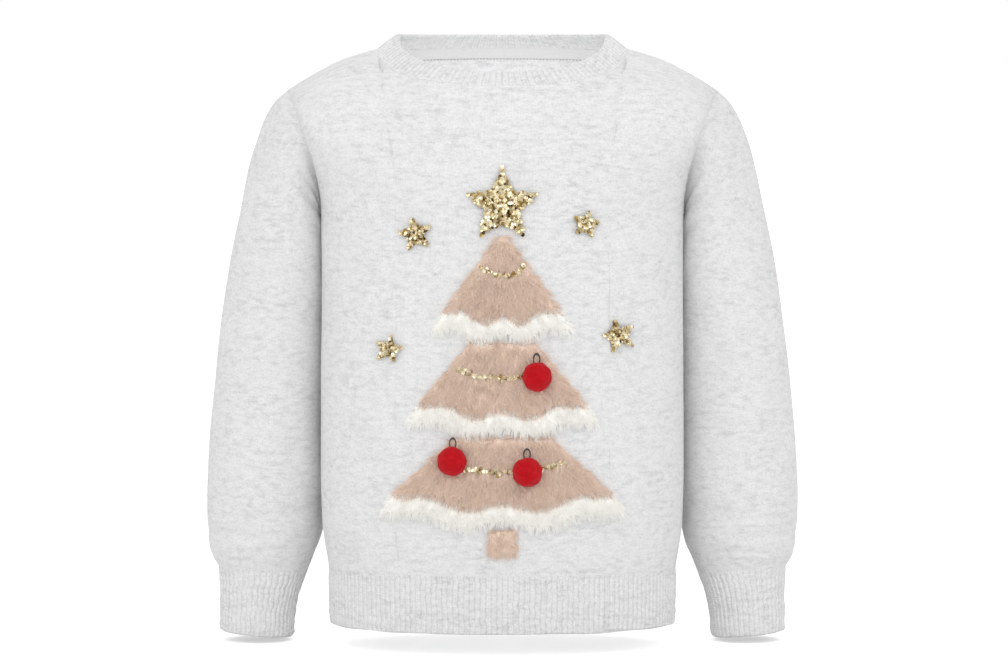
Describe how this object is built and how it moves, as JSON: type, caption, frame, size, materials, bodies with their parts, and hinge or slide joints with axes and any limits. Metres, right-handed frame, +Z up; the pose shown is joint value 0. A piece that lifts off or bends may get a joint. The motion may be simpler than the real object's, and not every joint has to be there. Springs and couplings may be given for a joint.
{
  "type": "christmas sweater",
  "caption": "Knitted Christmas jumper in its worn shape with nobody in it: ribbed hem, cuffs and collar, and a plush fir with sequin stars and felt balls.",
  "frame": {"origin": "middle of the neck opening, level with the tops of the shoulder seams, where a wearer's shoulders carry the jumper", "axes": "+Z up, -Y the front, +X to the viewer's right from the front"},
  "size_m": [0.4542, 0.1932, 0.4615],
  "materials": {
    "jersey": "brushed melange knit",
    "rib": "one by one rib knit",
    "tape": "narrow woven tape",
    "taupe_plush": "long pile",
    "cream_plush": "long pile",
    "gold_sequins": "metallised sequins",
    "red_felt": "felted wool"
  },
  "bodies": {
    "root": {"front": "jersey", "back": "jersey", "sleeve_head_left": "jersey", "sleeve_head_right": "jersey", "sleeve_left": "jersey", "sleeve_right": "jersey", "hem_front": "rib", "hem_back": "rib", "cuff_left": "rib", "cuff_right": "rib", "collar": "rib", "neck_tape": "tape", "fir_top": "taupe_plush", "fir_top_edge": "cream_plush", "fir_middle": "taupe_plush", "fir_middle_edge": "cream_plush", "fir_low": "taupe_plush", "fir_low_edge": "cream_plush", "fir_trunk": "taupe_plush", "sequin_star": "gold_sequins", "sequin_star_upper_left": "gold_sequins", "sequin_star_upper_right": "gold_sequins", "sequin_star_lower_left": "gold_sequins", "sequin_star_lower_right": "gold_sequins", "felt_ball_left": "red_felt", "felt_ball_right": "red_felt", "felt_ball_middle": "red_felt"}
  },
  "joints": []
}
